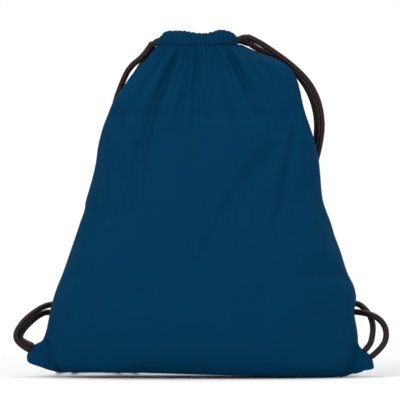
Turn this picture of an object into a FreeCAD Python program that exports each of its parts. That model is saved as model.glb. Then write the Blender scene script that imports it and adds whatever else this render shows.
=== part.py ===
import FreeCAD, Part
import math
import os

# Drawstring backpack, filled and standing on its base, mouth gathered shut.
# Millimetres. +Z up, the front panel faces -Y, the origin is under the middle of the bag on the floor.

V = FreeCAD.Vector

# Driving dimensions
cut_width = 380.0            # across the two lower corners, the width that the panels are cut to
neck_height = 364.5          # floor to the channel's stitch line
neck_width = 90.0            # gathered cloth under the channel, side to side
neck_depth = 45.0            # and front to back
belly_depth = 132.0          # the filled bag at its thickest
cloth_wall = 1.6             # panel wall, with the fullness of the gathered cloth
channel_wall = 1.2           # one turned layer of the channel
channel_reach = 33.5         # half the length of each channel
cord_diameter = 6.0
seam_allowance = 7.0         # overlocked edge turned inside along the seams
seam_thickness = 1.6
seam_stop = 12.5             # the side seams end this far under the channels' open ends
corner_thickness = 6.0       # sewn corner, two panels with the cord ends between them
tack_length = 9.0            # dense zigzag stitching, at the corners and at the channels' ends
tack_width = 2.6
tack_height = 0.9
tack_inset = 1.5             # from a tack to the cloth's edge beside it

# Clearances
corner_gap = 0.4             # between a strand's rounded end and the corner it is sewn into
exit_gap = 0.7               # and the cord in the channel that it carries on from
strand_gap = 0.6             # between the two strands of a strap where they meet the corner
left_top_gap = 0.8           # between the left strap's two strands at their top ends
right_top_gap = 2.0          # and the right strap's
floor_gap = 0.3              # under a cord that lies on the floor
channel_slack = 0.6          # round a cord inside its channel
level_gap = 1.4              # between the two cords, one above the other in the channels
tip_relief = 0.05            # a strand's rounded end is this much finer than its tube
arc_share = 0.45             # share of the shorter run that a cord's arc takes at each end

cord_radius = cord_diameter / 2
half_cut = cut_width / 2
level_pitch = cord_diameter + level_gap
lower_level = neck_height + channel_wall + channel_slack + cord_radius
upper_level = lower_level + level_pitch
channel_height = upper_level + cord_radius + channel_slack + channel_wall - neck_height
floor_level = cord_radius + floor_gap

# The body's shape: height as a share of the neck's, then the left edge and the right edge as shares of
# half the cut width, and how far front and back stand out, as a share of half the belly's depth.
body_shape = [
    (0.000, 0.790, 0.800, 0.60),
    (0.035, 0.858, 0.874, 0.82),
    (0.125, 0.884, 0.908, 0.95),
    (0.240, 0.850, 0.905, 1.00),
    (0.385, 0.742, 0.806, 0.97),
    (0.520, 0.662, 0.714, 0.88),
    (0.665, 0.590, 0.678, 0.74),
    (0.800, 0.526, 0.612, 0.59),
    (0.890, 0.428, 0.560, 0.49),
    (0.945, 0.330, 0.480, 0.42),
]

# Lower corners, pulled out by the cords: outlines in X and Z from the corner's own tip line.
left_corner = [(35, 4), (14, 11.5), (2, 16), (0, 23), (6.5, 39), (18, 43), (30, 50), (42, 30)]
right_corner = [(-35, 4), (-14, 7), (-1.5, 8.5), (0, 15.5), (-4.5, 19.3), (-9.7, 32.7), (-18, 36), (-22, 45),
                (-42, 30)]
left_cord_edge = (3, 4)      # corners of each outline between which the cords go in
right_cord_edge = (4, 5)

# Top end of each strap just outside the channels' open ends: beyond the neck's edge and above the stitch
# line, with the direction in which its two strands lie apart
left_top_place = (8, 0)
left_lean = V(0, -1, 0)
right_top_place = (10, 6)
right_lean = V(-0.375, 0, 0.927)
left_top = V(-neck_width / 2 - left_top_place[0], 0, neck_height + left_top_place[1])
right_top = V(neck_width / 2 + right_top_place[0], 0, neck_height + right_top_place[1])
left_spread = left_lean.normalize() * (cord_radius + left_top_gap / 2)
right_spread = right_lean.normalize() * (cord_radius + right_top_gap / 2)

# One side of the ring that both cords follow round the gathered neck, in shares of the neck's half width
# and half depth
ring_shares = [(-0.8444, -0.3778), (-0.3333, -0.8889), (0.3333, -0.8889), (0.8444, -0.3778), (0.9778, 0)]
ring_points = [(x * neck_width / 2, y * neck_depth / 2) for x, y in ring_shares]
left_exit = (3, 7, 2)        # where the left cord tips over the ring's end: beyond it, to each side, down

# Routes of the free strands between their two sewn ends, laid out round a bag of this half width, half depth
# and neck height, with the floor's cords at this level. They move with the bag when its size changes.
route_size = V(190, 66, 364.5)
route_floor = 3.3
left_front_route = [
    (-64, -1, 350), (-78, 4, 339.5), (-87, 9, 320), (-96, 16, 298), (-100, 28, 262), (-97, 38, 215),
    (-93, 50.5, 162), (-90, 59, 108), (-89, 62, 56), (-86, 66, 18), (-88, 86, 3.3), (-94, 112, 3.3),
    (-114, 127, 3.3), (-137, 118, 3.3), (-144, 96, 3.3), (-139, 74, 7), (-134, 57, 27), (-136, 46, 51),
    (-144, 38, 70), (-157, 29, 80), (-171, 21, 78), (-184, 14.5, 70.5), (-196, 8, 60), (-204, 3, 47),
    (-200.5, 0, 36),
]
left_back_route = [
    (-61, 7.5, 351), (-70, 12, 336), (-80, 17.5, 319), (-88, 24, 296), (-90, 33, 262), (-86, 43.5, 215),
    (-80, 55.5, 162), (-77, 63, 108), (-75, 65.5, 56), (-71, 71, 18), (-69, 91, 3.3), (-76, 120, 3.3),
    (-97, 140, 3.3), (-126, 144, 3.3), (-151, 131, 3.3), (-161, 107, 3.3), (-158, 84, 6), (-152, 66, 22),
    (-150, 53, 44), (-155, 42, 61), (-165, 32, 69.5), (-175, 22, 67.5), (-185, 13, 59.5), (-193, 6.5, 50.5),
    (-196, 2, 42),
]
right_front_route = [
    (66, -1, 371), (83, 1, 358.5), (103, 3, 341.5), (121, 5, 322), (132.5, 7, 299), (137, 9, 275),
    (134, 14, 253), (129, 23, 234), (125, 34, 206), (121, 44, 168), (118, 53, 126), (116, 59, 80),
    (115, 61, 45), (116, 66, 17), (113, 86, 3.3), (114, 103, 3.3), (126, 115.5, 3.3), (143, 115, 3.3),
    (154.5, 103, 3.3), (154, 86, 3.6), (149.5, 69, 9), (146, 55, 27), (147, 44, 50), (154, 35, 67),
    (166, 26, 74.5), (182, 15, 71.5), (197, 8, 66.5), (206, 5, 55), (206, 2, 41), (197, 0, 30.5),
]
right_back_route = [
    (67, 4, 363), (81, 8, 356.5), (97, 11, 347.5), (111, 13, 330), (122, 14, 312), (128.5, 16, 288),
    (129, 20, 265), (124, 29, 240), (114, 39, 206), (109, 49, 168), (105, 57.5, 126), (102, 64, 80),
    (101, 67, 45), (101, 73, 16), (98, 95, 3.3), (101, 117, 3.3), (117, 132, 3.3), (139, 134, 3.3),
    (159, 124, 3.3), (168, 104, 3.3), (165, 82, 5.5), (159.5, 62, 27), (158, 52, 52), (160, 44, 70),
    (166, 38, 81), (175, 31, 82.5), (183, 24.5, 75.5), (189, 17.5, 65), (192, 11, 54), (190, 4, 42),
]


def station_sizes(wall):
    """Height, left edge, right edge and half depth of each station, the last at the neck, less a wall."""
    rows = []
    for height, left, right, depth in body_shape:
        rows.append([height * neck_height, left * half_cut, right * half_cut, depth * belly_depth / 2])
    rows.append([neck_height, neck_width / 2, neck_width / 2, neck_depth / 2])
    inset = []
    for i, row in enumerate(rows):
        below = rows[max(i - 1, 0)]
        above = rows[min(i + 1, len(rows) - 1)]
        rise = above[0] - below[0]
        sizes = [row[0]]
        for k in (1, 2, 3):
            slope = (above[k] - below[k]) / rise
            sizes.append(row[k] - wall * math.sqrt(1 + slope * slope))
        inset.append(sizes)
    return inset


def ellipse_of(row):
    height, left, right, depth = row
    return V((right - left) / 2, 0, height), (left + right) / 2, depth


def half_section(row, side):
    """Half an ellipse on one side of the seam plane, closed along that plane. side is -1 in front."""
    middle, along, depth = ellipse_of(row)
    left_end = middle - V(along, 0, 0)
    right_end = middle + V(along, 0, 0)
    ellipse = Part.Ellipse(middle + V(along, 0, 0), middle + V(0, depth, 0), middle)
    first = math.pi if side < 0 else 0
    curve = ellipse.toShape(first, first + math.pi)
    return Part.Wire([curve, Part.LineSegment(left_end, right_end).toShape()])


def full_section(row):
    middle, along, depth = ellipse_of(row)
    ellipse = Part.Ellipse(middle + V(along, 0, 0), middle + V(0, depth, 0), middle)
    return Part.Wire([ellipse.toShape()])


def body_half(side):
    return Part.makeLoft([half_section(row, side) for row in station_sizes(0)], True, False)


def body_inside(inset):
    """The whole space inside the body, set in by a distance all round and from the floor."""
    rows = station_sizes(inset)
    rows[0][0] = inset
    rows.append([neck_height + channel_height] + rows[-1][1:])
    return Part.makeLoft([full_section(row) for row in rows], True, False)


def corner_outline(outline, tip):
    return [V(tip + x, 0, z) for x, z in outline]


def corner_half(outline, tip, side):
    points = corner_outline(outline, tip)
    face = Part.Face(Part.makePolygon(points + points[:1]))
    return face.extrude(V(0, side * corner_thickness / 2, 0))


def make_panel(side, inside):
    """Front or back panel: half the shell with its share of both lower corners."""
    panel = body_half(side)
    for outline, tip in ((left_corner, -half_cut), (right_corner, half_cut)):
        panel = panel.fuse(corner_half(outline, tip, side))
    return panel.removeSplitter().cut(inside)


def make_seams(inside):
    """Overlocked allowances inside the left side, the right side and the bottom."""
    turn = cloth_wall + seam_allowance
    outer, inner = (Part.Face(shape.slice(V(0, 1, 0), 0)[0]) for shape in (inside, body_inside(turn)))
    band = outer.cut(inner)
    ends = neck_height - seam_stop
    boxes = (
        Part.makeBox(cut_width, cut_width, ends - turn, V(-cut_width, -half_cut, turn)),
        Part.makeBox(cut_width, cut_width, ends - turn, V(0, -half_cut, turn)),
        Part.makeBox(2 * cut_width, cut_width, turn, V(-cut_width, -half_cut, 0)),
    )
    seams = []
    for box in boxes:
        strip = band.common(box).Faces[0]
        strip.translate(V(0, -seam_thickness / 2, 0))
        seams.append(strip.extrude(V(0, seam_thickness, 0)))
    return seams


def arc_corner(before, corner, after):
    """Start, middle, end and radius of the largest tangent arc that a corner's two runs leave room for."""
    back = before - corner
    ahead = after - corner
    tangent = arc_share * min(back.Length, ahead.Length)
    half_angle = back.getAngle(ahead) / 2
    radius = tangent * math.tan(half_angle)
    start = corner + V(back).normalize() * tangent
    end = corner + V(ahead).normalize() * tangent
    inward = (V(back).normalize() + V(ahead).normalize()).normalize()
    middle = corner + inward * (tangent / math.cos(half_angle) - radius)
    return start, middle, end, radius


def run_path(points, closed=False):
    """Straight runs joined by tangent arcs, as a wire, with the radii of the arcs."""
    edges = []
    radii = []
    count = len(points)
    corners = range(count) if closed else range(1, count - 1)
    arcs = [arc_corner(points[i - 1], points[i], points[(i + 1) % count]) for i in corners]
    last = arcs[-1][2] if closed else points[0]
    for start, middle, end, radius in arcs:
        edges.append(Part.LineSegment(last, start).toShape())
        edges.append(Part.Arc(start, middle, end).toShape())
        radii.append(radius)
        last = end
    if not closed:
        edges.append(Part.LineSegment(last, points[-1]).toShape())
    return Part.Wire(edges), radii


def make_tube(name, points):
    """A cord's tube along its route, checked against its section times its length."""
    path, radii = run_path(points)
    circle = Part.Circle(points[0], points[1] - points[0], cord_radius)
    tube = path.makePipeShell([Part.Wire([circle.toShape()])], True, False)
    expected = math.pi * cord_radius ** 2 * path.Length
    print(name, "length", round(path.Length, 1), "volume ratio", round(tube.Volume / expected, 4),
          "radii", [round(r, 1) for r in radii])
    return tube


def corner_anchor(corner, edge, top):
    """Lower ends of a strap's strands, one above the other on the line that the strap swings about."""
    low_end, high_end = corner[edge[0]], corner[edge[1]]
    middle = (low_end + high_end) / 2
    inward = V(0 - middle.x, 0, 0).normalize()
    outward = V(low_end - high_end).cross(V(0, 1, 0)).normalize()
    if outward.dot(inward) > 0:
        outward = -outward
    anchor = middle + outward * (cord_radius + corner_gap)
    step = (top - anchor).normalize() * (cord_radius + strand_gap / 2)
    return anchor - step, anchor + step


def fitted(point):
    """A route's point, moved with the bag's size."""
    x, y, z = point
    rise = (neck_height - floor_level) / (route_size.z - route_floor)
    depth = belly_depth / 2 / route_size.y
    return V(x * half_cut / route_size.x, y * depth, floor_level + (z - route_floor) * rise)


def make_strand(name, first, route, last):
    """A free strand with rounded ends, so that it turns in place at both."""
    points = [first] + [fitted(p) for p in route] + [last]
    strand = make_tube(name, points)
    for end in (first, last):
        strand = strand.fuse(Part.makeSphere(cord_radius - tip_relief, end))
    return strand


def ring_route(level, exit_side):
    """Corners of a cord's loop round the neck, from its front exit to its back exit."""
    front = [V(exit_side * x, y, level) for x, y in ring_points]
    return front + [V(p.x, -p.y, level) for p in reversed(front[:-1])]


def make_channel_cord(name, points, ends):
    """The part of a cord that its channels hold, up to where its two strands carry on."""
    stops = []
    for end, nearest in ((ends[0], points[0]), (ends[1], points[-1])):
        stops.append(end + (nearest - end).normalize() * (cord_radius + exit_gap))
    return make_tube(name, [stops[0]] + points + [stops[1]])


def ring_solid(half_width, bottom, height):
    corners = ring_route(bottom, -1)
    corners.append(V(-corners[len(ring_points) - 1].x, 0, bottom))
    middle = run_path(corners, closed=True)[0]
    outer = Part.Face(middle.makeOffset2D(half_width))
    inner = Part.Face(middle.makeOffset2D(-half_width))
    return outer.cut(inner).extrude(V(0, 0, height))


def make_channels():
    """Front and back channel: turned hems round the neck, hollow, and open at both ends."""
    hollow_half = cord_radius + channel_slack
    outer = ring_solid(hollow_half + channel_wall, neck_height, channel_height)
    inner = ring_solid(hollow_half, neck_height + channel_wall, channel_height - 2 * channel_wall)
    ring = outer.cut(inner)
    front = Part.makeBox(2 * channel_reach, neck_width, 2 * channel_height,
                         V(-channel_reach, -neck_width, neck_height))
    back = Part.makeBox(2 * channel_reach, neck_width, 2 * channel_height, V(-channel_reach, 0, neck_height))
    return ring.common(front), ring.common(back)


def channel_tacks(side):
    """Bar tacks across the ends of both channels' stitch lines, on one side of the bag."""
    start, end = V(*ring_points[0], 0), V(*ring_points[1], 0)
    along = (end - start).normalize()
    outward = V(along.y, -along.x, 0)
    wall_face = cord_radius + channel_slack + channel_wall
    from_start = (-channel_reach - start.x) / along.x + tack_inset
    place = start + along * from_start + outward * wall_face
    solids = []
    for face in (1, -1):
        corners = [place, place + along * tack_width, place + along * tack_width + outward * tack_height,
                   place + outward * tack_height]
        points = [V(side * p.x, face * p.y, neck_height + tack_inset) for p in corners]
        block = Part.Face(Part.makePolygon(points + points[:1]))
        solids.append(block.extrude(V(0, 0, tack_length)))
    return Part.makeCompound(solids)


def corner_tacks(corner, edge):
    """Bar tacks on both faces of a corner, across the ends of the two strands."""
    low_end, high_end = corner[edge[0]], corner[edge[1]]
    along = (high_end - low_end).normalize()
    middle = (low_end + high_end) / 2
    inward = along.cross(V(0, 1, 0))
    if inward.x * middle.x > 0:
        inward = -inward
    first = middle + inward * tack_width - along * (tack_length / 2)
    points = [first, first + along * tack_length, first + along * tack_length + inward * tack_width,
              first + inward * tack_width]
    solids = []
    for side in (-1, 1):
        face = Part.Face(Part.makePolygon(points + points[:1]))
        face.translate(V(0, side * corner_thickness / 2, 0))
        solids.append(face.extrude(V(0, side * tack_height, 0)))
    return Part.makeCompound(solids)


def save(name, shape):
    solids = shape.Solids
    shape = solids[0] if len(solids) == 1 else Part.makeCompound(solids)
    shape.exportStep("parts/" + name + ".step")
    box = shape.BoundBox
    print(name, "solids", len(solids), "valid", shape.isValid(), "volume", round(shape.Volume),
          "box", [round(v, 1) for v in (box.XMin, box.XMax, box.YMin, box.YMax, box.ZMin, box.ZMax)])


def build():
    os.makedirs("parts", exist_ok=True)
    inside = body_inside(cloth_wall)
    save("front_panel", make_panel(-1, inside))
    save("back_panel", make_panel(1, inside))
    left_seam, right_seam, bottom_seam = make_seams(inside)
    save("left_side_seam", left_seam)
    save("right_side_seam", right_seam)
    save("bottom_seam", bottom_seam)
    front_channel, back_channel = make_channels()
    save("front_channel", front_channel)
    save("back_channel", back_channel)

    left_points = corner_outline(left_corner, -half_cut)
    right_points = corner_outline(right_corner, half_cut)
    left_tops = left_top + left_spread, left_top - left_spread
    right_tops = right_top + right_spread, right_top - right_spread
    left_bottoms = corner_anchor(left_points, left_cord_edge, left_top)
    right_bottoms = corner_anchor(right_points, right_cord_edge, right_top)
    print("left swing line", left_top, (left_bottoms[0] + left_bottoms[1]) / 2)
    print("right swing line", right_top, (right_bottoms[0] + right_bottoms[1]) / 2)

    beyond, aside, drop = left_exit
    left_ring = ring_route(upper_level, 1)
    tip_over = V(-ring_points[-1][0] - beyond, -aside, upper_level - drop)
    left_ring = [tip_over] + left_ring + [V(tip_over.x, aside, tip_over.z)]
    save("left_channel_cord", make_channel_cord("left_channel_cord", left_ring, left_tops))
    right_ring = ring_route(lower_level, -1)
    save("right_channel_cord", make_channel_cord("right_channel_cord", right_ring, right_tops))
    strands = [
        ("left_front_strand", left_front_route, left_tops[0], left_bottoms[0]),
        ("left_back_strand", left_back_route, left_tops[1], left_bottoms[1]),
        ("right_front_strand", right_front_route, right_tops[0], right_bottoms[0]),
        ("right_back_strand", right_back_route, right_tops[1], right_bottoms[1]),
    ]
    for name, route, first, last in strands:
        save(name, make_strand(name, first, route, last))

    save("left_corner_tacks", corner_tacks(left_points, left_cord_edge))
    save("right_corner_tacks", corner_tacks(right_points, right_cord_edge))
    save("left_channel_tacks", channel_tacks(1))
    save("right_channel_tacks", channel_tacks(-1))


build()
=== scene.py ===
import math
import bpy
import numpy as np
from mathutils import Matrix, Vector
from mathutils.kdtree import KDTree


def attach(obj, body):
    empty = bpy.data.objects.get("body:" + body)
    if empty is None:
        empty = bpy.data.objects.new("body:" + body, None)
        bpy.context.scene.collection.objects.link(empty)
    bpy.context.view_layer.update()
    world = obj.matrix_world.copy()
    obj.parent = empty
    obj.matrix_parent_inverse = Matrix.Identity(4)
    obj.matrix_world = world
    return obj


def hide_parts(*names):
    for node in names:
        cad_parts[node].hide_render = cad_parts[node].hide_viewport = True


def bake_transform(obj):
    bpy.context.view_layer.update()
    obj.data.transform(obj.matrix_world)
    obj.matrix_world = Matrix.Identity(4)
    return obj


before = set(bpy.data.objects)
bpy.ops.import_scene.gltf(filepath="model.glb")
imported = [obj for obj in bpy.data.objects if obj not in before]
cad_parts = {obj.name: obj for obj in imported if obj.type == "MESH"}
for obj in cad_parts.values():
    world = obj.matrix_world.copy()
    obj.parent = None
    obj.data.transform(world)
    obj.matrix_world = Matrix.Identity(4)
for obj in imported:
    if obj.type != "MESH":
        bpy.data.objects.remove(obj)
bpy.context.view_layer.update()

scene = bpy.context.scene
print("frame loaded:", len(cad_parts), "nodes")


def hexColour(text):               # sRGB hex to linear
    values = [int(text[i:i + 2], 16) / 255 for i in (0, 2, 4)]
    linear = [v / 12.92 if v <= 0.04045 else ((v + 0.055) / 1.055) ** 2.4 for v in values]
    return (*linear, 1.0)


def addNode(tree, kind, settings=None, links=None):      # shader kinds are given without their ShaderNode
    node = tree.nodes.new(kind if kind.startswith(("Node", "Geometry", "Function")) else "ShaderNode" + kind)
    for key, value in (settings or {}).items():
        if isinstance(key, int) or key in node.inputs:
            node.inputs[key].default_value = value
        else:
            setattr(node, key, value)
    for key, source in (links or {}).items():
        tree.links.new(source, node.inputs[key])
    return node


def newMaterial(name, hexValues):
    material = bpy.data.materials.new(name)
    material.use_nodes = True
    tree = material.node_tree
    tree.nodes.clear()
    return material, tree, [hexColour(text) for text in hexValues]


def nodeName(name):                # leftCornerTacks stands for left_corner_tacks
    return "".join("_" + letter.lower() if letter.isupper() else letter for letter in name)


def linkObject(name, data):
    piece = bpy.data.objects.new(name, data)
    scene.collection.objects.link(piece)
    return piece


def gridMesh(name, points, uvs, flip=False):
    rows, columns = points.shape[:2]
    faces = []
    for i in range(rows - 1):
        for j in range(columns - 1):
            a = i * columns + j
            quad = (a, a + 1, a + columns + 1, a + columns)
            faces.append(quad[::-1] if flip else quad)
    mesh = bpy.data.meshes.new(name)
    mesh.from_pydata(points.reshape(-1, 3).tolist(), [], faces)
    layer = mesh.uv_layers.new(name="clothUv")
    index = np.empty(len(mesh.loops), dtype=np.int32)
    mesh.loops.foreach_get("vertex_index", index)
    layer.data.foreach_set("uv", uvs.reshape(-1, 2)[index].astype(np.float32).ravel())
    mesh.shade_smooth()
    return mesh


def smoothStep(low, high, value):
    share = np.clip((value - low) / (high - low), 0, 1)
    return share * share * (3 - 2 * share)


def lengthAlong(line):
    return np.concatenate([[0], np.cumsum(np.linalg.norm(np.diff(line, axis=0), axis=1))])


def between(share, values):        # values at even places from 0 to 1, read at share
    return np.interp(share, np.linspace(0, 1, len(values)), values)


def evaluated(piece):
    return piece.evaluated_get(bpy.context.evaluated_depsgraph_get())


def thicken(piece, thickness, offset=-1):
    wall = piece.modifiers.new("wall", "SOLIDIFY")
    wall.thickness, wall.offset = thickness, offset


def throughPoints(knots, samples):          # smooth curve through knots, at samples from 0 to their last
    knots = np.asarray(knots, dtype=float)
    count = len(knots)
    samples = np.clip(np.asarray(samples, dtype=float), 0, count - 1)
    k = np.minimum(samples.astype(int), count - 2)
    f = (samples - k)[:, None]
    p0, p1 = knots[np.maximum(k - 1, 0)], knots[k]
    p2, p3 = knots[k + 1], knots[np.minimum(k + 2, count - 1)]
    return 0.5 * (2 * p1 + (p2 - p0) * f + (2 * p0 - 5 * p1 + 4 * p2 - p3) * f ** 2
                  + (3 * p1 - p0 - 3 * p2 + p3) * f ** 3)


# camera: level with the bag's middle, far enough off to flatten its depth
cameraSettings = {"distance": 5.0, "height": 0.1943, "frameWidth": 0.4392}
cameraData = bpy.data.cameras.new("frontCamera")
cameraData.sensor_width = 36
cameraData.lens = 36 * cameraSettings["distance"] / cameraSettings["frameWidth"]
cameraData.clip_end = 50
camera = linkObject("frontCamera", cameraData)
camera.location = (0, -cameraSettings["distance"], cameraSettings["height"])
camera.rotation_euler = (math.pi / 2, 0, 0)
scene.camera = camera


# cords: braided over a core, soft enough to lie where they fall
cordSettings = {
    "diameter": 0.006, "plump": 1.12,                        # m, and how far a slack braid swells
    "squeezed": 0.31, "gripFrom": 0.003, "gripTo": 0.011,    # held in by a hem, from so far inside its ends, m
    "swingsAbove": 0.25, "staysBelow": 0.042,                # m, between these heights a lifted strap bows out
    "spacing": 0.0016, "around": 32, "capRings": 5,
    "flatten": 0.06, "twistLength": 0.4, "ribs": 8, "ribDepth": 0.035, "unevenness": 0.012,
}

leftFrontPoints = [
    (-.0533, -.0015, .3652), (-.0615, -.0012, .352), (-.0777, .004, .3406), (-.087, .009, .32),
    (-.0947, .016, .299), (-.0985, .028, .262), (-.097, .038, .215), (-.093, .0505, .162), (-.09, .059, .108),
    (-.089, .062, .056), (-.086, .066, .018), (-.088, .086, .0033), (-.094, .112, .0033),
    (-.114, .127, .0033), (-.137, .118, .0033), (-.144, .096, .0033), (-.139, .074, .007),
    (-.134, .057, .027), (-.136, .046, .051), (-.144, .038, .07), (-.157, .029, .08), (-.171, .021, .078),
    (-.184, .0135, .07), (-.1957, .006, .0596), (-.2032, 0, .0468), (-.1996, -.002, .0368),
    (-.1886, -.0002, .0303),
]
leftBackPoints = [
    (-.052, .0045, .3618), (-.0572, .0088, .3522), (-.0668, .0125, .339), (-.0782, .0165, .32),
    (-.088, .024, .296), (-.09, .033, .262), (-.086, .0435, .215), (-.08, .0555, .162),
    (-.077, .063, .108), (-.075, .0655, .056), (-.071, .071, .018), (-.069, .091, .0033),
    (-.076, .12, .0033), (-.097, .14, .0033), (-.126, .144, .0033), (-.151, .131, .0033),
    (-.161, .107, .0033), (-.158, .084, .006), (-.152, .066, .022), (-.15, .053, .044),
    (-.1553, .042, .063), (-.1655, .032, .0714), (-.176, .022, .0684), (-.1863, .0155, .0602),
    (-.1952, .0095, .0508), (-.1984, .0052, .043), (-.1935, .0034, .0382), (-.1851, .0002, .035),
]
rightFrontPoints = [
    (.0535, 0, .373), (.0642, -.0018, .3682), (.0808, .001, .3572), (.1018, .003, .3422), (.1208, .005, .3235),
    (.1314, .007, .3015), (.135, .009, .2765), (.1317, .014, .253), (.1268, .023, .234), (.1225, .034, .206),
    (.121, .044, .168), (.118, .053, .126), (.116, .059, .08), (.115, .061, .045), (.116, .066, .017),
    (.113, .086, .0033), (.114, .103, .0033), (.126, .1155, .0033), (.143, .115, .0033),
    (.1545, .103, .0033), (.154, .086, .0036), (.1495, .069, .009), (.146, .055, .027), (.147, .044, .05),
    (.154, .035, .0665), (.166, .026, .0715), (.182, .015, .0699), (.195, .008, .0658), (.2043, .005, .055),
    (.2048, .002, .0405), (.197, 0, .0295), (.1889, 0, .0229),
]
rightBackPoints = [
    (.0565, .0014, .3646), (.0634, .0082, .3604), (.0768, .0132, .3544), (.0925, .0148, .3462), (.108, .0148, .3318),
    (.1208, .015, .313), (.1284, .0165, .289), (.129, .02, .265), (.124, .029, .24), (.114, .039, .206),
    (.109, .049, .168), (.105, .0575, .126), (.102, .064, .08), (.101, .067, .045), (.101, .073, .016),
    (.098, .095, .0033), (.101, .117, .0033), (.117, .132, .0033), (.139, .134, .0033),
    (.159, .124, .0033), (.168, .104, .0033), (.165, .082, .0055), (.1595, .062, .027),
    (.158, .052, .052), (.16, .044, .07), (.166, .038, .0795), (.1745, .031, .0802), (.1815, .026, .0748),
    (.188, .0195, .0665), (.1908, .013, .0552), (.1893, .005, .0435), (.1868, .0015, .0352), (.1819, 0, .0303),
]


def splineLine(name, points):
    curve = bpy.data.curves.new(name, "CURVE")
    curve.dimensions = "3D"
    curve.resolution_u = 12
    spline = curve.splines.new("NURBS")
    spline.points.add(len(points) - 1)
    for point, place in zip(spline.points, points):
        point.co = (*place, 1)
    spline.order_u = 3             # after the points, or it stays at straight runs
    spline.use_endpoint_u = True
    holder = linkObject(name, curve)
    bpy.context.view_layer.update()
    line = bpy.data.meshes.new_from_object(evaluated(holder))
    places = [v.co.copy() for v in line.vertices]
    bpy.data.objects.remove(holder)
    bpy.data.curves.remove(curve)
    bpy.data.meshes.remove(line)
    return places


def evenLine(places, spacing):
    line = np.array([list(p) for p in places])
    reach = lengthAlong(line)
    count = max(2, round(reach[-1] / spacing))
    at = np.linspace(0, reach[-1], count + 1)
    return np.stack([np.interp(at, reach, line[:, k]) for k in range(3)], axis=1), at


def cordMesh(name, places, seed, squeezed=0.0):
    settings = cordSettings
    line, reach = evenLine(places, settings["spacing"])
    radius = settings["diameter"] / 2 * settings["plump"]
    around, capRings = settings["around"], settings["capRings"]
    tangents = np.gradient(line, axis=0)
    tangents /= np.linalg.norm(tangents, axis=1)[:, None]
    normal = np.cross(tangents[0], (0, 0, 1.0))
    frames = []
    for t in tangents:             # carried along without twist
        normal = normal - t * np.dot(normal, t)
        normal /= np.linalg.norm(normal)
        frames.append((normal, np.cross(t, normal)))

    def cap(end, sign, k):         # one ring of a rounded end
        a = math.pi / 2 * k / capRings
        return (line[end] + sign * tangents[end] * radius * math.cos(a), frames[end],
                radius * math.sin(a), reach[end] + sign * radius * math.cos(a))

    stations = [cap(0, -1, k) for k in range(capRings)]      # place, frame, radius, length along
    for k in range(len(line)):
        inside = min(reach[k], reach[-1] - reach[k])
        slim = 1 - squeezed * smoothStep(settings["gripFrom"], settings["gripTo"], inside)
        stations.append((line[k], frames[k], radius * slim, reach[k]))
    stations += [cap(-1, 1, k) for k in range(capRings - 1, -1, -1)]
    lumps = np.random.default_rng(seed).uniform(-1, 1, 64)
    vertices, faces, uvs = [], [], []
    angles = np.arange(around) * 2 * math.pi / around
    for place, (n, b), r, s in stations[1:-1]:
        wobble = 1 + settings["unevenness"] * float(np.interp((s * 40) % 63, np.arange(64), lumps))
        spin = 2 * math.pi * s / settings["twistLength"]
        for a in angles:
            flat = 1 - settings["flatten"] * 0.5 * (1 + math.cos(2 * (a + spin)))
            flat -= settings["ribDepth"] * (1 - math.sqrt(abs(math.cos(settings["ribs"] / 2 * a))))
            vertices.append(place + (n * math.cos(a) + b * math.sin(a)) * r * wobble * flat)
    rings = len(stations) - 2
    vertices += [stations[0][0], stations[-1][0]]
    girth = 2 * math.pi * radius
    lengths = [s[3] for s in stations[1:-1]]
    for i in range(rings - 1):
        for j in range(around):
            k = (j + 1) % around
            faces.append((i * around + j, i * around + k, (i + 1) * around + k, (i + 1) * around + j))
            uvs += [(j / around * girth, lengths[i]), ((j + 1) / around * girth, lengths[i]),
                    ((j + 1) / around * girth, lengths[i + 1]), (j / around * girth, lengths[i + 1])]
    first, last = rings * around, rings * around + 1
    for j in range(around):
        k = (j + 1) % around
        faces.append((first, k, j))
        uvs += [(j / around * girth, lengths[0])] * 3
        faces.append((last, (rings - 1) * around + j, (rings - 1) * around + k))
        uvs += [(j / around * girth, lengths[-1])] * 3
    mesh = bpy.data.meshes.new(name)
    mesh.from_pydata([tuple(v) for v in vertices], [], faces)
    layer = mesh.uv_layers.new(name="cordUv")
    layer.data.foreach_set("uv", np.array(uvs, dtype=np.float32).ravel())
    mesh.shade_smooth()
    return mesh, [tuple(p) for p in line]


# the same two cords inside the channels: each goes in at its own side, round the far end and out again
leftChannelPoints = [
    (-.0508, -.0046, .3654), (-.0465, -.0068, .3692), (-.0405, -.0094, .3712), (-.029, -.0147, .3728),
    (-.015, -.0197, .3728), (0, -.0211, .3728), (.015, -.0197, .3732), (.028, -.0147, .3731), (.034, -.0085, .3732),
    (.0362, 0, .3732), (.034, .0085, .3731), (.028, .0147, .3732), (.015, .0197, .3728), (0, .0211, .3728),
    (-.015, .0197, .3728), (-.029, .0147, .3728), (-.0405, .0094, .3712), (-.0465, .0068, .3692),
    (-.0508, .0046, .3654),
]
rightChannelPoints = [
    (.0502, -.0015, .3729), (.0447, -.0062, .3722), (.038, -.0105, .3703), (.028, -.0149, .3683),
    (.015, -.0197, .368), (0, -.0211, .368), (-.015, -.0197, .368), (-.028, -.0149, .3679), (-.0333, -.0088, .3679),
    (-.0357, 0, .3679), (-.0333, .0088, .3679), (-.028, .0149, .3679), (-.015, .0197, .368), (0, .0211, .368),
    (.015, .0197, .368), (.028, .0149, .368), (.0385, .0100, .368), (.0473, .0058, .3684), (.0534, .0029, .3664),
]

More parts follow.
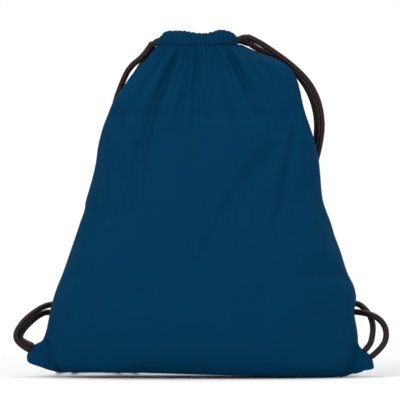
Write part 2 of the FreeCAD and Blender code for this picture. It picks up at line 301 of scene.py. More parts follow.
# each cord's route, length in m and seed: the four free strands, then what runs in the channels
cords = {
    "leftFrontStrand": (leftFrontPoints, 0.689, 0), "leftBackStrand": (leftBackPoints, 0.696, 1),
    "rightFrontStrand": (rightFrontPoints, 0.701, 2), "rightBackStrand": (rightBackPoints, 0.715, 3),
    "leftChannelCord": (leftChannelPoints, 0.2154, 10), "rightChannelCord": (rightChannelPoints, 0.2118, 11),
}
cordPieces, strandLines = [], []
for name, (points, length, seed) in cords.items():
    free = name.endswith("Strand")
    mesh, line = cordMesh(name, splineLine(name + "Line", points), seed, 0.0 if free else cordSettings["squeezed"])
    piece = linkObject(name, mesh)
    cordPieces.append(piece)
    if free:       # a free strand: its line is kept for the troughs it presses into the cloth, and its place is baked into its mesh
        strandLines.append(np.array(line))
        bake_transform(piece)
    else:
        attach(piece, "bag")
    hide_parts(nodeName(name))
print("cords laid:", len(cordPieces))


def waveScale(period):
    return math.pi / (10 * period)          # a wave texture's scale for a period in metres


def clothMaterial(name, hexValues, threadPitch):
    # polyester taffeta, piece-dyed and plain-woven: even, nearly matt, with a faint sheen at grazing angles
    material, tree, tones = newMaterial(name, hexValues)
    place = addNode(tree, "TexCoord").outputs
    flat, solid = ({"Vector": place[kind]} for kind in ("UV", "Object"))
    # the real threads are 0.25 mm apart; drawn at threadPitch, as coarse as they need to be to show
    pitch = waveScale(threadPitch)
    warp, weft = (addNode(tree, "TexWave", {"bands_direction": way, "Scale": pitch}, flat) for way in "XY")
    weave = addNode(tree, "Math", {"operation": "MULTIPLY"}, {0: warp.outputs["Fac"], 1: weft.outputs["Fac"]})
    slub = addNode(tree, "Mapping", {"Scale": (1 / 0.0016, 1 / 0.045, 1)}, flat)
    slubs = addNode(tree, "TexNoise", {"Scale": 1.0, "Detail": 2.0}, {"Vector": slub.outputs[0]})
    # dye takes a little unevenly over 5 cm or so
    dye = addNode(tree, "TexNoise", {"Scale": 1 / 0.05, "Detail": 3.0}, solid)
    shade = addNode(tree, "Mix", {"data_type": "RGBA", 6: tones[0], 7: tones[1]}, {0: dye.outputs["Fac"]})
    threads = addNode(tree, "Math", {"operation": "MULTIPLY_ADD", 1: 0.16, 2: 0.0}, {0: slubs.outputs["Fac"]})
    colour = addNode(tree, "Mix", {"data_type": "RGBA", 7: tones[2]}, {0: threads.outputs[0], 6: shade.outputs[2]})
    # creases that handling leaves, 6 to 20 mm long
    crumple = addNode(tree, "TexNoise", {"Scale": 1 / 0.016, "Detail": 3.0, "Roughness": 0.55}, solid)
    soft = addNode(tree, "Bump", {"Strength": 0.35, "Distance": 0.0012}, {"Height": crumple.outputs["Fac"]})
    bump = addNode(tree, "Bump", {"Strength": 0.3, "Distance": 0.00012},
                   {"Height": weave.outputs[0], "Normal": soft.outputs[0]})
    rough = addNode(tree, "MapRange", {"To Min": 0.66, "To Max": 0.8}, {"Value": slubs.outputs["Fac"]})
    shader = addNode(tree, "BsdfPrincipled", {
        "IOR": 1.5, "Specular IOR Level": 0.03, "Sheen Weight": 0.01, "Sheen Roughness": 0.4,
        "Sheen Tint": hexColour("2E6FA8")},
        {"Base Color": colour.outputs[2], "Roughness": rough.outputs[0], "Normal": bump.outputs[0]})
    addNode(tree, "OutputMaterial", None, {"Surface": shader.outputs[0]})
    return material


def cordMaterial(name, hexValues):
    # polyester cord braided of 16 plaits over a core: near black, smooth plaits that catch a soft grey-brown light;
    # shade is painted into the plait hollows and highlights onto the rib crests
    material, tree, tones = newMaterial(name, hexValues)
    place = addNode(tree, "TexCoord").outputs
    flat = {"Vector": place["UV"]}
    girth = math.pi * cordSettings["diameter"] * cordSettings["plump"]
    plait = girth / 8                       # uv runs round and along in metres, so 8 plaits each way close up
    diagonal = 2 * math.pi / (10 * plait)
    turned = addNode(tree, "Mapping", {"Scale": (-1, 1, 1)}, flat)
    right, left = (addNode(tree, "TexWave", {"bands_direction": "DIAGONAL", "Scale": diagonal},
                           {"Vector": way}) for way in (place["UV"], turned.outputs[0]))
    braid = addNode(tree, "Math", {"operation": "MAXIMUM"}, {0: right.outputs["Fac"], 1: left.outputs["Fac"]})
    hollow = addNode(tree, "Math", {"operation": "POWER", 1: 0.6}, {0: braid.outputs[0]})
    # painted shade: the plait hollows, low in the bump, are coloured darker than the plait tops
    plaitShade = addNode(tree, "Mix", {"data_type": "RGBA", 6: tones[0], 7: tones[1]}, {0: hollow.outputs[0]})
    ribPitch = girth / cordSettings["ribs"]
    ribs = addNode(tree, "TexWave", {"bands_direction": "X", "Scale": waveScale(ribPitch)}, flat)
    ribHighlight = addNode(tree, "MapRange", {"From Min": 0.3, "From Max": 0.0, "To Max": 0.8},
                    {"Value": ribs.outputs["Fac"]})
    colour = addNode(tree, "Mix", {"data_type": "RGBA", 7: tones[2]},
                     {0: ribHighlight.outputs[0], 6: plaitShade.outputs[2]})       # painted highlight: the ribs' crests are painted a paler grey-brown, as where light catches them
    bump = addNode(tree, "Bump", {"Strength": 0.5, "Distance": 0.00035}, {"Height": hollow.outputs[0]})
    shader = addNode(tree, "BsdfPrincipled", {"Roughness": 0.42, "IOR": 1.5, "Specular IOR Level": 0.12},
                     {"Base Color": colour.outputs[2], "Normal": bump.outputs[0]})
    addNode(tree, "OutputMaterial", None, {"Surface": shader.outputs[0]})
    return material


def threadMaterial(name, hexValues):
    # spun polyester sewing thread, dyed to match: fine diagonal twist, a little more lustre than the cloth
    material, tree, tones = newMaterial(name, hexValues)
    solid = {"Vector": addNode(tree, "TexCoord").outputs["Object"]}
    twist = addNode(tree, "TexWave", {"bands_direction": "DIAGONAL", "Scale": waveScale(0.0004)}, solid)
    tone = addNode(tree, "TexNoise", {"Scale": 1 / 0.004, "Detail": 1.0}, solid)
    colour = addNode(tree, "Mix", {"data_type": "RGBA", 6: tones[0], 7: tones[1]}, {0: tone.outputs["Fac"]})
    bump = addNode(tree, "Bump", {"Strength": 0.3, "Distance": 0.0001}, {"Height": twist.outputs["Fac"]})
    shader = addNode(tree, "BsdfPrincipled", {"Roughness": 0.5, "Specular IOR Level": 0.35},
                     {"Base Color": colour.outputs[2], "Normal": bump.outputs[0]})
    addNode(tree, "OutputMaterial", None, {"Surface": shader.outputs[0]})
    return material


clothSurface = clothMaterial("wovenDyedPolyester", ("00324F", "003757", "063E60"), 0.0011)
seamSurface = clothMaterial("foldedPolyesterEdge", ("042E4C", "053453", "0A3D5E"), 0.0011)
# cord tones: painted shade for the plait hollows, the cord's own near black, and a painted grey-brown highlight for
# the rib crests
cordSurface = cordMaterial("braidedPolyesterCord", ("0A0202", "180B0B", "4A4040"))
threadSurface = threadMaterial("dyedSewingThread", ("053250", "0A4066"))
print("materials mixed")


# bag: two cut panels of woven polyester, sewn at the sides and the bottom, filled, gathered at the neck
panelCut = (0.38, 0.4)                    # m, each panel as cut, up to the stitch line
bagSettings = {
    "columns": 171, "rows": 158,          # grid of each panel
    "wall": 0.0009,                       # cloth, drawn a little thick so that its edges hold
    "earHalf": 2.7,                       # mm, half the thickness of an empty corner
    "leftLift": 5.5,                      # mm, how far the slack left end stays off the floor
    "fineGather": 1.0, "fineCount": 19,   # mm, waves across a panel at the stitch line
    "midGather": 2.6, "midCount": 9.5,
}

# rows of a panel from the bottom seam up, mm: height in the middle, half depth, left tip x and z,
# right tip x and z, the filled body's reach to the left and to the right
lowRows = [
    (0.6, 0, -149, 0.3, 150, 2.6, 145, 146), (0.5, 26, -161, 0.9, 166, 4.8, 148, 149),
    (0.5, 44, -175, 5.3, 180, 6.9, 150, 151), (3.6, 51.5, -187.8, 10.1, 190, 8.9, 156, 158),
    (12, 56.5, -190.2, 16.1, 190.6, 13.8, 161, 164), (23.5, 59.5, -188.9, 23.3, 188.6, 21.0, 164, 168),
    (35, 61.5, -183.4, 32.4, 184.2, 26.6, 166.5, 171), (40, 62, -177.6, 36.1, 178.6, 30.4, 167.3, 171.6),
    (45.6, 62.7, -172.9, 39.6, 174, 36.0, 168, 172), (51, 63.3, -169.8, 47.5, 173.4, 45, 168, 172),
    (57, 64, -168, 54.3, 172.2, 54, 167.5, 172),
]
# and above the corners: height, half depth, left edge, right edge
highRows = [
    (70, 65, -165, 169.5), (79, 65.7, -163, 170.5), (88, 66, -160.5, 171.5), (100, 65.9, -156.5, 169),
    (112, 65.4, -151.5, 163), (123, 64.9, -147.5, 159), (139, 64, -142, 154), (155, 62.4, -136.5, 148),
    (170, 60.6, -131.5, 143.5), (183, 58.8, -127, 138.5), (193, 57.3, -125.5, 135.3), (205, 55.3, -122, 133.5),
    (220, 52.8, -117.8, 132.3), (236, 49.9, -114.3, 130.8), (250, 47.4, -112.5, 128), (262, 45.1, -110, 125),
    (275, 42.4, -106.3, 120.8), (288, 39.6, -101.3, 116.3), (300, 37.4, -96.5, 113), (312, 34.9, -89.5, 110.5),
    (322, 32.7, -82, 108), (332, 30.2, -75, 104), (341, 28.2, -66.8, 97.5), (348.5, 26.6, -59.8, 86),
    (354, 25.6, -55.8, 70.8), (359, 24.8, -51.2, 58.6), (362.5, 23.8, -48.4, 50.6), (364.8, 22.9, -46.2, 45.8),
]

# soft valleys of the gathered cloth on the front, from the neck outwards, mm in x and z:
# line, depth, half width at its start and at its end
frontFolds = [
    ([(-37, 366), (-68, 313), (-97, 268)], 1.8, 4, 8), ([(-26, 358), (-43, 316), (-57, 273), (-66, 206)], 3.6, 4, 8),
    ([(-66, 262), (-74, 215), (-83, 161)], 2.8, 5, 8), ([(-13, 355), (-20, 307), (-25, 262)], 2.0, 3.5, 6),
    ([(-3, 355), (-4, 316), (-6, 256)], 2.4, 3.5, 6), ([(5, 353), (7, 316), (10, 270)], 2.4, 3, 5),
    ([(14, 355), (26, 316), (42, 262)], 2.8, 3.5, 6), ([(30, 358), (52, 314), (78, 272)], 2.8, 3.5, 7),
    ([(44, 363), (75, 336), (94, 307)], 1.8, 3.5, 7), ([(10, 358), (11, 330), (11, 302)], -1.2, 3, 4),
    ([(21, 361), (46, 320), (77, 282)], -1.2, 3, 6), ([(34, 361), (62, 325), (94, 291)], -1.2, 3, 6),
    ([(-11, 358), (-24, 312), (-37, 268)], -1.2, 3, 6), ([(-30, 362), (-52, 318), (-76, 268)], -1.2, 4, 8),
    ([(86, 256), (45, 205), (19, 156), (-7, 113)], 4.6, 11, 18),
    ([(107, 275), (98, 235), (91, 193), (77, 145)], 3.2, 5, 10),
    ([(-118, 206), (-120, 170), (-121, 130)], 1.6, 8, 10), ([(168, 36), (152, 34), (140, 26), (131, 11)], 1.2, 5, 7),
    ([(-164, 46), (-148, 60), (-124, 70)], 0.9, 5, 8), ([(-176, 30), (-168, 22), (-158, 11)], 0.8, 3, 5),
    ([(172, 44), (150, 66), (118, 84)], 1.6, 4, 9), ([(-120, 104), (-40, 84), (50, 88), (120, 108)], 1.6, 16, 18),
]
# and on the back, where the straps lie
backFolds = [
    ([(34, 366), (58, 318), (86, 262)], 2.6, 4, 8), ([(20, 358), (34, 310), (46, 250)], 2.4, 4, 8),
    ([(6, 356), (8, 310), (16, 262)], 2.2, 3.5, 7), ([(-10, 354), (-18, 312), (-34, 256)], 2.8, 3.5, 8),
    ([(-26, 358), (-44, 318), (-72, 270)], 2.2, 4, 7), ([(-38, 362), (-64, 334), (-90, 296)], 1.8, 3.5, 7),
    ([(0, 355), (-4, 330), (-6, 296)], -1.2, 3, 5), ([(27, 360), (46, 316), (64, 268)], -1.3, 3, 6),
    ([(-70, 240), (-30, 180), (6, 120)], 3.0, 9, 15), ([(60, 220), (70, 160), (62, 110)], 2.6, 8, 13),
    ([(-172, 38), (-150, 56), (-120, 66)], 2.2, 4, 8), ([(172, 38), (148, 58), (116, 72)], 2.2, 4, 8),
    ([(-110, 96), (0, 76), (110, 98)], 1.6, 15, 18),
]


# a panel's top edge, where it runs up into its hem, mm: height, half depth and ends, and the gathers' start and span
neckSettings = {"top": 364.8, "depth": 22.9, "left": -45.8, "right": 45, "start": -45, "span": 90.5, "fan": 48}
neckLine = [(-45.8, 0), (-45.3, 5.6), (-44.2, 8.6), (-39, 11.5), (-27.9, 17.4), (-15.5, 21.7), (0, 22.9),
            (15.5, 21.7), (27.9, 17.2), (36, 12.5), (40.6, 8.9), (43.6, 5.4), (45, 0)]


def rowTable():
    rows = [list(r) for r in lowRows]
    for height, depth, left, right in highRows:
        rows.append([height, depth, left, height, right, height, -left, right])
    return np.array(rows, dtype=float)


def rowPlaces(rows, count):
    fine = np.linspace(0, len(rows) - 1, 4000)
    line = throughPoints(rows[:, :2], fine)
    step = np.linalg.norm(np.diff(line, axis=0), axis=1)
    middle = (line[1:, 0] + line[:-1, 0]) / 2
    step = step * (1 + 0.9 * smoothStep(300, 362, middle))
    reach = np.concatenate([[0], np.cumsum(step)])
    return np.interp(np.linspace(0, reach[-1], count), reach, fine)


def panelPoints(side, columns, count):
    rows = rowTable()
    row = throughPoints(rows, rowPlaces(rows, count))[:, :, None]
    height, depth, leftX, leftZ, rightX, rightZ, reachLeft, reachRight = (row[:, k] for k in range(8))
    s = np.linspace(-1, 1, columns)[None, :]
    share = 0.5 + 0.5 * (0.38 * s + 0.62 * np.sin(s * math.pi / 2))
    x = leftX + (rightX - leftX) * share
    middle, reach = (reachRight - reachLeft) / 2, (reachLeft + reachRight) / 2
    across = np.clip((x - middle) / reach, -1, 1)
    belly = np.sqrt(np.clip(1 - np.abs(across) ** 2.15, 0, 1))
    neckX, neckY = np.array(neckLine).T
    half, centre = ((neckSettings["right"] + k * neckSettings["left"]) / 2 for k in (-1, 1))
    neck = np.interp(across * half + centre, neckX, neckY) / neckSettings["depth"]
    belly = depth * (belly + (neck - belly) * smoothStep(335, 364, height))
    inward = np.minimum(x - leftX, rightX - x)
    ear = bagSettings["earHalf"] * np.sqrt(np.clip(inward / 7, 0, 1)) * np.clip(depth / 20, 0, 1)
    y = (belly ** 3 + ear ** 3) ** (1 / 3)
    leftShare = smoothStep(0.86, 1.0, x / leftX) * (x < 0)
    rightShare = smoothStep(0.84, 1.0, x / rightX) * (x > 0)
    z = height + (leftZ - height) * leftShare + (rightZ - height) * rightShare
    lift = bagSettings["leftLift"] * np.clip((135 - x) / 195, 0, 1) * smoothStep(60, 0, height)
    return np.stack([x, side * y + 0 * z, z + lift], axis=2), share + 0 * z


def outward(points, side):
    across = np.gradient(points, axis=1)
    up = np.gradient(points, axis=0)
    normal = np.cross(across, up) * (-side)
    size = np.linalg.norm(normal, axis=2, keepdims=True)
    return normal / np.maximum(size, 1e-9)


def foldDepth(points, folds):
    x, z = points[:, :, 0], points[:, :, 2]
    total = np.zeros(x.shape)
    for line, depth, startWidth, endWidth in folds:
        path = throughPoints(line, np.linspace(0, len(line) - 1, 40))
        nearest = np.full(x.shape, 1e9)
        along = np.zeros(x.shape)
        for k, (px, pz) in enumerate(path):
            gap = (x - px) ** 2 + (z - pz) ** 2
            closer = gap < nearest
            nearest[closer] = gap[closer]
            along[closer] = k / 39
        width = startWidth + (endWidth * 0.8 - startWidth) * along
        fade = smoothStep(0, 0.12, along) * (1 - smoothStep(0.7, 1, along))
        total += depth * np.exp(-nearest / width ** 2) * (0.25 + 0.75 * fade)
    return total


def waves(share, count, seed):
    random = np.random.default_rng(seed)
    shift = between(share, np.cumsum(random.uniform(-0.5, 0.5, 25)) * 0.9)
    size = between(share, random.uniform(0.55, 1.15, 31))
    turn = np.cos(share * count * 2 * math.pi + shift)
    return (turn + 0.28 * np.cos(2 * (share * count * 2 * math.pi + shift)) - 0.15) * size


def gathered(points, side):
    under = np.maximum(neckSettings["top"] - points[:, :, 2], 0)
    fanned = points[:, :, 0] / (1 + under / neckSettings["fan"])    # pleats fan out in straight lines from the neck
    share = (fanned - neckSettings["start"]) / neckSettings["span"]
    seed = 11 if side < 0 else 12
    edge = np.minimum(share, 1 - share)
    quiet = smoothStep(-0.04, 0.06, edge)
    fine = bagSettings["fineGather"] * np.exp(-(under / 16) ** 1.3) * waves(share, bagSettings["fineCount"], seed)
    mid = bagSettings["midGather"] * (under / 24) * np.exp(1 - under / 24)
    mid = mid * waves(share, bagSettings["midCount"], seed + 5)
    return (fine + 0.55 * mid) * quiet


def panelShape(side, columns, count, plain=False):
    points, share = panelPoints(side, columns, count)
    if plain:
        return points, share
    normal = outward(points, side)
    folds = frontFolds if side < 0 else backFolds
    height = gathered(points, side) - 1.5 * foldDepth(points, folds)
    edge = np.minimum(share, 1 - share) * np.linalg.norm(points[:, -1] - points[:, 0], axis=1)[:, None]
    hold = smoothStep(0, 16, edge) * smoothStep(3, 20, points[:, :, 2])      # the seams and the base stay
    return points + normal * (height * hold)[:, :, None], share


print("panels laid out")


# the filled bag settles: a coarse shell of both panels, a little slack, under a little pressure
clothSettings = {
    "columns": 57, "rows": 60, "frames": 22, "quality": 5, "mass": 0.1,
    "stretch": 18, "shear": 6, "bend": 0.25, "pressure": 2.5, "slack": -0.006,
    "most": 0.0045,                                          # m, no point settles further
    "room": 0.0037, "edge": 0.0015, "flank": 0.006, "trough": 1.6,      # where a strap presses the cloth in
}


def settledOffsets():
    columns, count = clothSettings["columns"], clothSettings["rows"]
    grids = [panelShape(side, columns, count, plain=True)[0] / 1000 for side in (-1, 1)]
    index = np.zeros((2, count, columns), dtype=int)
    places = []
    for g in range(2):
        for i in range(count):
            for j in range(columns):
                shared = g == 1 and (i == 0 or j in (0, columns - 1))
                if shared:
                    index[g, i, j] = index[0, i, j]
                else:
                    index[g, i, j] = len(places)
                    places.append(grids[g][i, j])
    faces = []
    for g in range(2):
        for i in range(count - 1):
            for j in range(columns - 1):
                quad = [index[g, i, j], index[g, i, j + 1], index[g, i + 1, j + 1], index[g, i + 1, j]]
                faces.append(quad if g == 0 else quad[::-1])
    mesh = bpy.data.meshes.new("settling")
    mesh.from_pydata([tuple(p) for p in places], [], [[int(k) for k in f] for f in faces])
    shell = linkObject("settling", mesh)
    held = shell.vertex_groups.new(name="held")
    for k, p in enumerate(places):
        top = smoothStep(0.27, 0.36, p[2])
        base = smoothStep(0.012, 0.002, p[2])
        tip = smoothStep(0.155, 0.175, abs(p[0]))
        seam = 1 if abs(p[1]) < 0.001 else 0
        weight = float(max(top, base, tip, seam))
        if weight > 0.01:
            held.add([k], min(1.0, weight), "REPLACE")
    cloth = shell.modifiers.new("cloth", "CLOTH")
    settings = cloth.settings
    settings.quality = clothSettings["quality"]
    settings.mass = clothSettings["mass"]
    settings.tension_stiffness = settings.compression_stiffness = clothSettings["stretch"]
    settings.shear_stiffness = clothSettings["shear"]
    settings.bending_stiffness = clothSettings["bend"]
    settings.use_pressure = True
    settings.uniform_pressure_force = clothSettings["pressure"]
    settings.effector_weights.gravity = 0
    settings.vertex_group_mass = "held"
    settings.pin_stiffness = 1.0
    settings.shrink_min = clothSettings["slack"]
    cloth.collision_settings.use_collision = False
    cloth.point_cache.frame_start, cloth.point_cache.frame_end = 1, clothSettings["frames"]
    for frameNumber in range(1, clothSettings["frames"] + 1):
        scene.frame_set(frameNumber)
    settled = evaluated(shell).data
    after = np.empty(len(places) * 3, dtype=np.float32)
    settled.vertices.foreach_get("co", after)
    moved = after.reshape(-1, 3).astype(float) - np.array(places)
    size = np.linalg.norm(moved, axis=1, keepdims=True)
    most = clothSettings["most"]
    moved = moved * (most * np.tanh(size / most) / np.maximum(size, 1e-9))     # no point goes far
    print("cloth settled, mm: most", round(float(size.max()) * 1000, 1), "mean", round(float(size.mean()) * 1000, 2))
    scene.frame_set(1)
    bpy.data.objects.remove(shell)
    bpy.data.meshes.remove(mesh)
    return [moved[index[g]] for g in range(2)]


def spread(coarse, count, columns):
    rows, across = coarse.shape[:2]
    v = np.linspace(0, rows - 1, count)
    u = np.linspace(0, across - 1, columns)
    i, j = np.minimum(v.astype(int), rows - 2), np.minimum(u.astype(int), across - 2)
    fv, fu = (v - i)[:, None, None], (u - j)[None, :, None]
    fv, fu = fv * fv * (3 - 2 * fv), fu * fu * (3 - 2 * fu)
    a, b = coarse[i][:, j], coarse[i][:, j + 1]
    c, d = coarse[i + 1][:, j], coarse[i + 1][:, j + 1]
    return (a * (1 - fu) + b * fu) * (1 - fv) + (c * (1 - fu) + d * fu) * fv


strandTree = KDTree(sum(len(line) for line in strandLines))
for k, place in enumerate(np.concatenate(strandLines)):
    strandTree.insert(place, k)
strandTree.balance()


def pressed(points, side):         # the straps press a soft trough into the cloth they lie on
    room = clothSettings["room"]
    normals = outward(points, side).reshape(-1, 3)
    flat = points.reshape(-1, 3).copy()
    for k in range(len(flat)):
        nearest, _, distance = strandTree.find(flat[k])
        if distance > 2 * room or abs(flat[k][1]) < clothSettings["edge"]:
            continue
        away = flat[k] - np.array(nearest)
        if abs(flat[k][1]) > clothSettings["flank"]:
            rise = float(np.dot(away, normals[k]))
            aside = distance ** 2 - rise ** 2
            flat[k] -= normals[k] * max(0.0, rise + room - aside / (clothSettings["trough"] * room))
        elif distance < room:
            flat[k] += away * (room / distance - 1)
    return flat.reshape(points.shape)


offsets = settledOffsets()
panelPieces, panelGrids = [], []
for k, (side, name) in enumerate(((-1, "frontPanel"), (1, "backPanel"))):
    columns, count = bagSettings["columns"], bagSettings["rows"]
    points, share = panelShape(side, columns, count)
    points /= 1000
    if offsets is not None:
        points += spread(offsets[k], count, columns)
    points = pressed(points, side)
    points[:, :, 1] = np.where(np.abs(points[:, :, 1]) < 1e-7, 0, points[:, :, 1])
    points[:, :, 2] = np.maximum(points[:, :, 2], 0.0003)
    lengths = np.linalg.norm(np.diff(points, axis=0), axis=2)
    up = np.concatenate([np.zeros((1, columns)), np.cumsum(lengths, axis=0)]).mean(axis=1, keepdims=True)
    across = (share - 0.5) * panelCut[0]
    uvs = np.stack([across, up + 0 * share], axis=2)
    mesh = gridMesh(name, points, uvs, flip=side > 0)
    cells = np.cross(points[1:, 1:] - points[:-1, :-1], points[1:, :-1] - points[:-1, 1:])
    print(name, "cloth m2:", round(float(np.linalg.norm(cells, axis=2).sum()) / 2, 4))
    piece = linkObject(name, mesh)
    thicken(piece, bagSettings["wall"])
    panelPieces.append(piece)
    panelGrids.append(points)


# channels: the panels' tops turned over, stitched down and gathered on the cords
channelSettings = {
    "bottom": 0.3645, "half": 0.0048,              # m, the stitch line, and half the hem's thickness
    "outer": (0.44, 0.60, 1.25), "inner": (0.40, 0.64, 1.8),    # a layer's foot, swell and how soon it swells
    "pleats": 17, "pleatDepth": 0.0008, "scallop": 0.0006, "columns": 420, "wall": 0.0005,
}
# middle of the front channel seen from above, and the height of each channel's fold, mm, from left to right
channelPath = [(-47.5, -5.2), (-44, -7.0), (-38, -9.6), (-27, -15.4), (-15, -19.6), (0, -20.8), (15, -19.6),
               (27, -15.2), (35, -10.6), (39.6, -7.4)]
frontTop = [(-47.5, 366.2), (-44.6, 370.6), (-41.5, 374.6), (-38.4, 378.2), (-35, 379.7), (-18.7, 379.6),
            (-12, 378.5), (-2.2, 376.8), (7.7, 376.7), (14.3, 378.5), (20.9, 380.5), (24.2, 380.7),
            (30.7, 379.4), (34, 377.7), (37.3, 375.6), (39.6, 371.0)]
backTop = [(-47.5, 366.2), (-44.6, 369.6), (-41.5, 373.6), (-38.4, 376.6), (-30, 378.0), (-20, 378.6), (-8, 376.6),
           (5, 376.4), (14, 378.2), (24, 379.6), (30.7, 378.4), (36, 375.4), (39.6, 371.0)]


def channelMesh(name, side, topLine, seed):
    settings = channelSettings
    columns = settings["columns"]
    share = np.linspace(0, 1, columns)
    path = np.array(channelPath) / 1000
    middle = throughPoints(path, np.linspace(0, len(path) - 1, 900))
    reach = lengthAlong(middle)
    middle = np.stack([np.interp(share * reach[-1], reach, middle[:, i]) for i in range(2)], axis=1)
    middle[:, 1] *= -side
    along = np.gradient(middle, axis=0)
    along /= np.linalg.norm(along, axis=1)[:, None]
    outwards = np.stack([along[:, 1], -along[:, 0]], axis=1) * (-side)
    random = np.random.default_rng(seed)
    drift = between(share, np.cumsum(random.uniform(-0.7, 0.7, 27)))
    phase = share * settings["pleats"] * 2 * math.pi + drift
    size = between(share, random.uniform(0.45, 1.1, 40))
    pleat = (np.sqrt(np.abs(np.cos(phase / 2))) * 1.5 - 1.1) * size      # round ridges, narrow creases
    second = np.cos(phase * 1.63 + 1.1) * between(share, random.uniform(0, 1, 30))
    topX, topZ = np.array(topLine).T / 1000
    top = np.interp(middle[:, 0], topX, topZ) - settings["bottom"]
    top = np.convolve(np.pad(top, 8, mode="edge"), np.ones(17) / 17, "valid")
    across = middle[:, 0] * 1000
    edge = np.minimum(across - neckSettings["left"], neckSettings["right"] - across)
    foot = bagSettings["fineGather"] / 1000 * smoothStep(0, 16, edge) * waves(      # the panel's own gathers
        (across - neckSettings["start"]) / neckSettings["span"], bagSettings["fineCount"], 11 if side < 0 else 12)
    foot = np.maximum(foot, -0.0005)
    profile = []                                              # outwards share, height share

    def layer(v, foot, swell, rise):
        return foot + swell * math.sin(min(1, v * rise) * math.pi / 2) - 0.16 * v * v

    for k in range(9):                                        # outer layer, up from the stitch line
        profile.append((layer(k / 8, *settings["outer"]), k / 8 * 0.88))
    for k in range(1, 8):                                     # over the fold
        a = math.pi * k / 8
        profile.append((0.90 * math.cos(a), 0.88 + 0.12 * math.sin(a)))
    for k in range(8, -1, -1):                                # inner layer, down to the stitch line
        profile.append((-layer(k / 8, *settings["inner"]), k / 8 * 0.88))
    rows = []
    for reach, level in profile:
        deep = settings["pleatDepth"] * smoothStep(0, 0.5, level)
        shift = reach * settings["half"] + np.sign(reach) * deep * pleat * (0.4 if reach < 0 else 1)
        shift = shift + 0.00018 * second * level
        if reach > 0:
            shift = shift + foot * (1 - smoothStep(0, 0.45, level))
        scallop = settings["scallop"] * (1.3 * pleat + second * 0.7) * level ** 4
        z = settings["bottom"] + np.maximum(level * top + scallop, 0)
        place = middle + outwards * shift[:, None]
        rows.append(np.column_stack([place, z]))
    points = np.array(rows)
    lengths = np.linalg.norm(np.diff(points, axis=0), axis=2).mean(axis=1)
    up = np.concatenate([[0], np.cumsum(lengths)])[:, None]
    uvs = np.stack([(share[None, :] - 0.5) * panelCut[0] + 0 * up, up + 0 * share[None, :]], axis=2)
    return gridMesh(name, points, uvs, flip=side > 0), points


channelPieces, channelGrids = [], []
for side, name, topLine, seed in ((-1, "frontChannel", frontTop, 31), (1, "backChannel", backTop, 32)):
    mesh, points = channelMesh(name, side, topLine, seed)
    piece = linkObject(name, mesh)
    thicken(piece, channelSettings["wall"])
    channelPieces.append(piece)
    channelGrids.append(points)
print("channels gathered")


# stitches: rows, bar tacks and the overlocked edges inside, all from two node trees
def geometryTree(name, numbers, seed=None):
    tree = bpy.data.node_groups.new(name, "GeometryNodeTree")
    tree.interface.new_socket("Geometry", in_out="INPUT", socket_type="NodeSocketGeometry")
    for label, value in numbers.items():
        tree.interface.new_socket(label, in_out="INPUT", socket_type="NodeSocketFloat").default_value = value
    if seed is not None:
        tree.interface.new_socket("Seed", in_out="INPUT", socket_type="NodeSocketInt").default_value = seed
    tree.interface.new_socket("Thread", in_out="INPUT", socket_type="NodeSocketMaterial")
    tree.interface.new_socket("Geometry", in_out="OUTPUT", socket_type="NodeSocketGeometry")
    return tree, addNode(tree, "NodeGroupInput").outputs


def finishTree(tree, geometry, thread):
    solid = addNode(tree, "GeometryNodeRealizeInstances", None, {"Geometry": geometry})
    finish = addNode(tree, "GeometryNodeSetMaterial", None,
                     {"Geometry": solid.outputs["Geometry"], "Material": thread})
    addNode(tree, "NodeGroupOutput", None, {"Geometry": finish.outputs["Geometry"]})
    return tree


def stitchRowTree():
    tree, given = geometryTree("stitchRow", {
        "Pitch": 0.0026, "Stitch Length": 0.002, "Thread Radius": 0.0003, "Unevenness": 0.12}, seed=3)
    row = addNode(tree, "GeometryNodeMeshToCurve", None, {"Mesh": given["Geometry"]})
    even = addNode(tree, "GeometryNodeResampleCurve", {"mode": "LENGTH"},
                   {"Curve": row.outputs["Curve"], "Length": given["Pitch"]})
    bead = addNode(tree, "GeometryNodeMeshUVSphere", {"Segments": 8, "Rings": 6, "Radius": 1.0})
    half = addNode(tree, "Math", {"operation": "MULTIPLY", 1: 0.5}, {0: given["Stitch Length"]})
    shape = addNode(tree, "CombineXYZ", None,
                    {"X": half.outputs[0], "Y": given["Thread Radius"], "Z": given["Thread Radius"]})
    stitch = addNode(tree, "GeometryNodeTransform", None,
                     {"Geometry": bead.outputs["Mesh"], "Scale": shape.outputs[0]})
    tangent = addNode(tree, "GeometryNodeInputTangent")
    aim = addNode(tree, "FunctionNodeAlignRotationToVector", {"axis": "X"}, {"Vector": tangent.outputs[0]})
    less = addNode(tree, "Math", {"operation": "SUBTRACT", 0: 1.0}, {1: given["Unevenness"]})
    size = addNode(tree, "FunctionNodeRandomValue", {"data_type": "FLOAT", 3: 1.0},
                   {2: less.outputs[0], "Seed": given["Seed"]})
    placed = addNode(tree, "GeometryNodeInstanceOnPoints", None, {
        "Points": even.outputs["Curve"], "Instance": stitch.outputs["Geometry"],
        "Rotation": aim.outputs["Rotation"], "Scale": size.outputs[1]})
    return finishTree(tree, placed.outputs["Instances"], given["Thread"])


def threadLineTree():
    tree, given = geometryTree("threadLine", {"Thread Radius": 0.0003})
    row = addNode(tree, "GeometryNodeMeshToCurve", None, {"Mesh": given["Geometry"]})
    ring = addNode(tree, "GeometryNodeCurvePrimitiveCircle", {"Resolution": 6}, {"Radius": given["Thread Radius"]})
    tube = addNode(tree, "GeometryNodeCurveToMesh", {"Fill Caps": True},
                   {"Curve": row.outputs["Curve"], "Profile Curve": ring.outputs["Curve"]})
    return finishTree(tree, tube.outputs["Mesh"], given["Thread"])


def polyline(name, lines):
    places, edges = [], []
    for line in lines:
        first = len(places)
        places += [tuple(float(c) for c in p) for p in line]
        edges += [(first + k, first + k + 1) for k in range(len(line) - 1)]
    mesh = bpy.data.meshes.new(name)
    mesh.from_pydata(places, edges, [])
    return mesh


